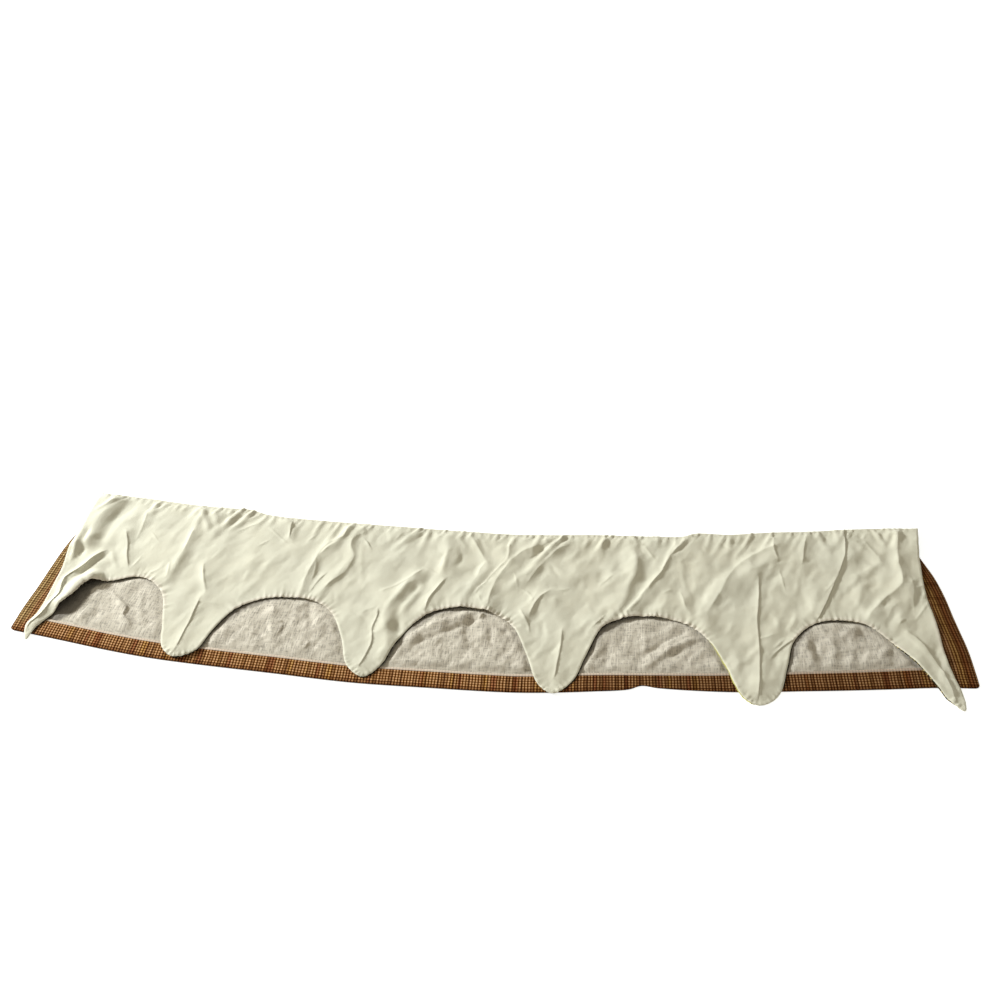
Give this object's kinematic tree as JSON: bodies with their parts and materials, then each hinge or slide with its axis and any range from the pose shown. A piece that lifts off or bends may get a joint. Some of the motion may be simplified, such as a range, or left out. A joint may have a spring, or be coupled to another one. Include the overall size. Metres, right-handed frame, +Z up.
{
  "type": "window valance",
  "caption": "Lined window valance lying face down: a checked panel with turned hems under a scalloped, lined overlay with gathered top seam and soft folds.",
  "frame": {"origin": "on the surface that the valance lies on, under the centre of its bounding box", "axes": "+X along the width to the right, seen from the bottom hem; +Y from the bottom hem to the top seam; +Z up, from the face cloth to the linings"},
  "size_m": [1.839, 0.4852, 0.0229],
  "materials": {
    "homespun_check": "matte woven mini check, brown and tan",
    "coarse_lining": "matte coarse plain weave, greyish off-white",
    "overlay_check": "matte woven check, gold and black",
    "cream_lining": "smooth fine plain weave, cream"
  },
  "bodies": {
    "root": {"check_panel": "homespun_check", "panel_lining": "coarse_lining", "overlay_face": "overlay_check", "overlay_lining": "cream_lining"}
  },
  "joints": []
}
